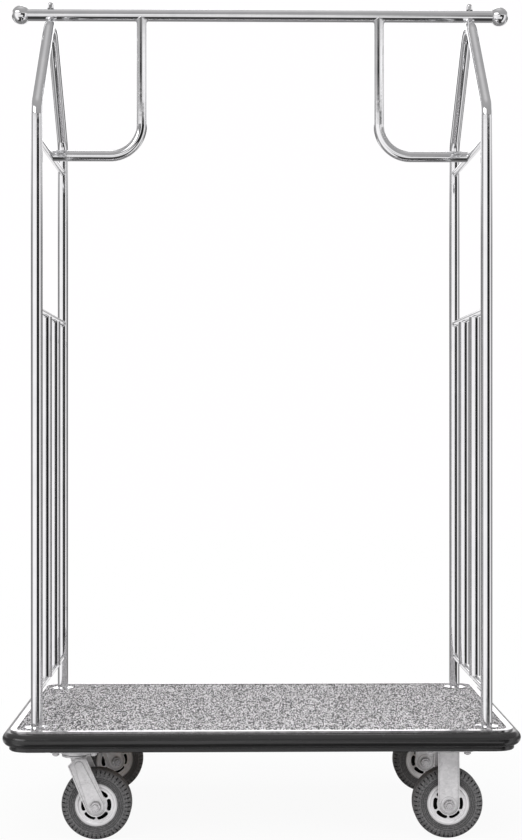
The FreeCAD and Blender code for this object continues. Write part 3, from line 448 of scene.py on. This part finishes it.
def carpet():
    """Loop-pile carpet, pressed in under the trim's flange and round the post flanges."""
    low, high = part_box("deck_carpet")
    trim_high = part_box("deck_trim")[1]
    flange_low, flange_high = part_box("post_flanges")
    hoop_low, hoop_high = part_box("right_hoop")
    post_x = (hoop_low.x + hoop_high.x) / 2
    flange_radius = flange_high.x - post_x
    post_y = flange_high.y - flange_radius
    shown_x = trim_high.x - trim_flange_width
    shown_y = trim_high.y - trim_flange_width
    pressed_z = flange_low.z - carpet_edge_drop
    columns = round((high.x - low.x) / tuft_pitch)
    rows = round((high.y - low.y) / tuft_pitch)

    def strayed(along):
        return along + tuft_chance.uniform(-tuft_stray, tuft_stray) * tuft_pitch

    def pulled_in(x, y):
        """Keeps the outline inside the carpet's rounded corners."""
        corner_x = high.x - carpet_corner_radius
        corner_y = high.y - carpet_corner_radius
        over = Vector((max(abs(x) - corner_x, 0.0), max(abs(y) - corner_y, 0.0)))
        if over.x > 0.0 and over.y > 0.0 and over.length > carpet_corner_radius:
            over = over.normalized() * carpet_corner_radius
            x = math.copysign(corner_x + over.x, x)
            y = math.copysign(corner_y + over.y, y)
        return x, y

    def top_z(x, y):
        from_post = math.hypot(abs(x) - post_x, abs(y) - post_y)
        hidden = max(abs(x) - shown_x, abs(y) - shown_y, flange_radius - from_post)
        pile = high.z + tuft_chance.uniform(-tuft_height, tuft_height)
        press = min(max(1.0 + hidden / press_reach, 0.0), 1.0)
        return pile + (pressed_z - pile) * press

    points = []
    for layer in ("top", "bottom"):
        for row in range(rows + 1):
            for column in range(columns + 1):
                x = low.x + (high.x - low.x) * column / columns
                y = low.y + (high.y - low.y) * row / rows
                if 0 < column < columns and 0 < row < rows and layer == "top":
                    x = strayed(x)
                    y = strayed(y)
                x, y = pulled_in(x, y)
                points.append((x, y, top_z(x, y) if layer == "top" else low.z))
    width = columns + 1
    under = width * (rows + 1)
    faces = []
    for row in range(rows):
        for column in range(columns):
            corner = row * width + column
            below = under + corner
            faces.append((corner, corner + 1, corner + 1 + width, corner + width))
            faces.append((below, below + width, below + 1 + width, below + 1))
    rim = list(range(columns))
    rim += [row * width + columns for row in range(rows)]
    rim += [rows * width + column for column in range(columns, 0, -1)]
    rim += [row * width for row in range(rows, 0, -1)]
    for here, following in zip(rim, rim[1:] + rim[:1]):
        faces.append((here, under + here, under + following, following))
    piece = new_piece("carpet_pile", points, faces, carpet_yarn(), "frame")
    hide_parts("deck_carpet")


def turn_angles(count):
    return [2 * math.pi * step / count for step in range(count)]


def bead_rings(path, closed, centre):
    """Points and faces of a rippled weld bead along path, its sections facing away from centre."""
    count = len(path)
    points = []
    for index, place in enumerate(path):
        before = path[index - 1] if closed or index else place
        after = path[(index + 1) % count] if closed or index < count - 1 else place
        along = (after - before).normalized()
        outward = place - centre
        outward = (outward - along * outward.dot(along)).normalized()
        across = along.cross(outward)
        radius = bead_radius * (1.0 + bead_ripple * math.sin(bead_ripple_step * index))
        if not closed:
            radius *= math.sin(math.pi * (index + 0.5) / count) ** 0.5
        for angle in turn_angles(bead_sides):
            points.append(place + radius * (math.cos(angle) * outward + math.sin(angle) * across))
    faces = []
    for index in range(count if closed else count - 1):
        here = index * bead_sides
        following = ((index + 1) % count) * bead_sides
        for side in range(bead_sides):
            beside = (side + 1) % bead_sides
            faces.append((here + side, here + beside, following + beside, following + side))
    if not closed:
        faces.append(tuple(range(bead_sides - 1, -1, -1)))
        faces.append(tuple(range((count - 1) * bead_sides, count * bead_sides)))
    return points, faces


def weld_beads(end, material):
    """Beads round each crossbar and bracket where it meets a post, bar or the rail."""
    hoop_low, hoop_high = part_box(end + "_hoop")
    tube_radius = (hoop_high.x - hoop_low.x) / 2
    post_x = (hoop_low.x + hoop_high.x) / 2
    post_y = hoop_high.y - tube_radius
    bar_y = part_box(end + "_upright_bars")[1].y - tube_radius
    rail_low, rail_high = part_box("hanging_rail")
    rail_radius = (rail_high.z - rail_low.z) / 2
    rail_z = (rail_low.z + rail_high.z) / 2
    bracket_low, bracket_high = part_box(end + "_rail_bracket")
    leg_x = bracket_high.x - tube_radius if end == "left" else bracket_low.x + tube_radius

    def drop(radius, across):
        """How far a round tube's surface lies from its axis plane, at across from that axis."""
        return math.sqrt(radius ** 2 - across ** 2)

    paths = []
    crossbar_z = {}
    for level in levels:
        low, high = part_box(f"{end}_{level}_crossbar")
        crossbar_radius = (high.z - low.z) / 2
        crossbar_z[level] = (low.z + high.z) / 2
        for side in (-1, 1):
            path = []
            for angle in turn_angles(crossbar_bead_sections):
                across = crossbar_radius * math.cos(angle)
                y = side * (post_y - drop(tube_radius, across))
                z = crossbar_z[level] + crossbar_radius * math.sin(angle)
                path.append(Vector((post_x + across, y, z)))
            centre = Vector((post_x, side * (post_y - tube_radius), crossbar_z[level]))
            paths.append((path, True, centre))
    notch_half = drop(crossbar_radius, crossbar_radius - notch_depth)
    notch_steps = range(2 * notch_bead_half_sections + 1)
    notch_places = [notch_half * (step / notch_bead_half_sections - 1.0) for step in notch_steps]
    for level, facing in (("lower", 1), ("mid", -1)):
        for y in (-bar_y, bar_y):
            for side in (-1, 1):
                path = [Vector((post_x + across,
                                y + side * drop(tube_radius, across),
                                crossbar_z[level] + facing * drop(crossbar_radius, across)))
                        for across in notch_places]
                paths.append((path, False, Vector((post_x, y, crossbar_z[level]))))
    facing = 1 if leg_x > post_x else -1
    for side in (-1, 1):
        path = [Vector((post_x + facing * drop(crossbar_radius, across),
                        side * drop(tube_radius, across),
                        crossbar_z["upper"] + across))
                for across in notch_places]
        paths.append((path, False, Vector((post_x, 0.0, crossbar_z["upper"]))))
    path = []
    for angle in turn_angles(rail_bead_sections):
        x = leg_x + tube_radius * math.cos(angle)
        y = tube_radius * math.sin(angle)
        path.append(Vector((x, y, rail_z - drop(rail_radius, y))))
    paths.append((path, True, Vector((leg_x, 0.0, rail_z - rail_radius))))
    points = []
    faces = []
    for path, closed, centre in paths:
        start = len(points)
        ring_points, ring_faces = bead_rings(path, closed, centre)
        points += ring_points
        faces += [tuple(start + corner for corner in face) for face in ring_faces]
    new_piece(end + "_weld_beads", points, faces, material, "frame")


# Studio
def in_degrees(tree, radians):
    return arithmetic(tree, "MULTIPLY", radians, 180.0 / math.pi)


def angle_ramp(tree, angle, whole, greys):
    """Greys by angle, over a whole that lies half to each side of zero."""
    share = arithmetic(tree, "ADD", arithmetic(tree, "DIVIDE", angle, whole), 0.5)
    return ramp(tree, share, [(degrees / whole + 0.5, grey) for degrees, grey in greys])


def studio_world():
    """White to the camera; shiny faces see walls with dark gaps, a ceiling, a floor and panels."""
    world = bpy.data.worlds.new("studio")
    bpy.context.scene.world = world
    world.use_nodes = True
    tree = world.node_tree
    direction = add(tree, "TexCoord").outputs["Generated"]
    parts = add(tree, "SeparateXYZ", {"Vector": direction}).outputs
    towards_camera = arithmetic(tree, "MULTIPLY", parts["Y"], -1.0)
    bearing = in_degrees(tree, arithmetic(tree, "ARCTAN2", parts["X"], towards_camera))
    rise = in_degrees(tree, arithmetic(tree, "ARCSINE", parts["Z"]))
    aside = arithmetic(tree, "ABSOLUTE", bearing)

    def window(sweep, bearings, rises, rise_soft):
        """One inside a window of bearings and rises, nothing outside it."""
        return arithmetic(tree, "MULTIPLY", band(tree, sweep, *bearings, bearing_soft),
                          band(tree, rise, *rises, rise_soft))

    lower_walls = angle_ramp(tree, bearing, 360.0, wall_greys)
    upper_walls = angle_ramp(tree, bearing, 360.0, upper_wall_greys)
    walls = blend(tree, spread(tree, rise, *upper_wall_rises), lower_walls, upper_walls)
    side_walls = window(aside, side_wall_bearings, side_wall_rises, wall_rise_soft)
    wall_share = arithmetic(tree, "MAXIMUM", side_walls, band(tree, rise, *wall_rises, wall_rise_soft))
    room = blend(tree, wall_share, angle_ramp(tree, rise, 180.0, height_greys), walls)
    for bearings, rises, grey in panels:
        room = blend(tree, window(aside, bearings, rises, panel_rise_soft), room, grey)
    bearings, rises, grey = left_panel
    room = blend(tree, window(bearing, bearings, rises, panel_rise_soft), room, grey)
    sky = angle_ramp(tree, rise, 180.0, sky_greys)
    rays = add(tree, "LightPath").outputs
    seen = blend(tree, rays["Is Glossy Ray"], sky, room)
    straight = arithmetic(tree, "MAXIMUM", rays["Is Camera Ray"], rays["Is Transmission Ray"])
    seen = blend(tree, straight, seen, 1.0)
    tree.links.new(seen, tree.nodes["Background"].inputs["Color"])


def soft_light(name, place, aim, size, power):
    data = bpy.data.lights.new(name, "AREA")
    data.size = size
    data.energy = power
    light = bpy.data.objects.new(name, data)
    bpy.context.scene.collection.objects.link(light)
    light.location = place
    light.rotation_euler = (Vector(aim) - Vector(place)).to_track_quat("-Z", "Y").to_euler()
    light.visible_glossy = False


def floor():
    """Pale floor that keeps the cart's soft shadow and runs out to white."""
    corners = [(x * floor_half, y * floor_half, 0) for x, y in ((-1, -1), (1, -1), (1, 1), (-1, 1))]
    mesh = bpy.data.meshes.new("floor")
    mesh.from_pydata(corners, [], [(0, 1, 2, 3)])
    piece = bpy.data.objects.new("floor", mesh)
    bpy.context.scene.collection.objects.link(piece)
    material = bpy.data.materials.new("floor")
    material.use_nodes = True
    tree = material.node_tree
    tree.nodes.remove(tree.nodes["Principled BSDF"])
    place = add(tree, "TexCoord").outputs["Object"]
    distance = add(tree, "VectorMath", {0: place}, operation="LENGTH").outputs["Value"]
    rays = add(tree, "LightPath").outputs
    whiteness = spread(tree, distance, floor_white_from, floor_white_to, to_low=floor_white_near)
    white = arithmetic(tree, "MULTIPLY", rays["Is Camera Ray"], whiteness)
    matt = add(tree, "BsdfDiffuse", {"Color": (floor_grey, floor_grey, floor_grey, 1.0)}).outputs["BSDF"]
    glow = add(tree, "Emission", {"Color": (1.0, 1.0, 1.0, 1.0), "Strength": 1.0}).outputs["Emission"]
    mixed = add(tree, "MixShader", {0: white, 1: matt, 2: glow}).outputs["Shader"]
    tree.links.new(mixed, tree.nodes["Material Output"].inputs["Surface"])
    paint(piece, material)
    piece.visible_glossy = False


def camera():
    data = bpy.data.cameras.new("camera")
    data.sensor_width = sensor_long_side
    data.lens = focal_length * sensor_long_side / image_height
    data.shift_y = horizon_below_middle / image_height
    piece = bpy.data.objects.new("camera", data)
    bpy.context.scene.collection.objects.link(piece)
    piece.location = camera_place
    piece.rotation_euler = (math.pi / 2, 0.0, -camera_turn)
    bpy.context.scene.camera = piece


chromes = paint_nodes()
carpet()
for end in ends:
    weld_beads(end, chromes["Y"])
studio_world()
soft_light("key_light", place=(-2.0, -2.8, 3.2), aim=(0.0, 0.0, 0.7), size=2.4, power=95.0)
soft_light("fill_light", place=(2.6, -2.2, 1.8), aim=(0.0, 0.0, 0.7), size=2.2, power=45.0)
soft_light("top_light", place=(0.0, 0.4, 3.8), aim=(0.0, 0.0, 0.0), size=2.4, power=40.0)
floor()
camera()
bpy.context.scene.view_settings.view_transform = "Standard"
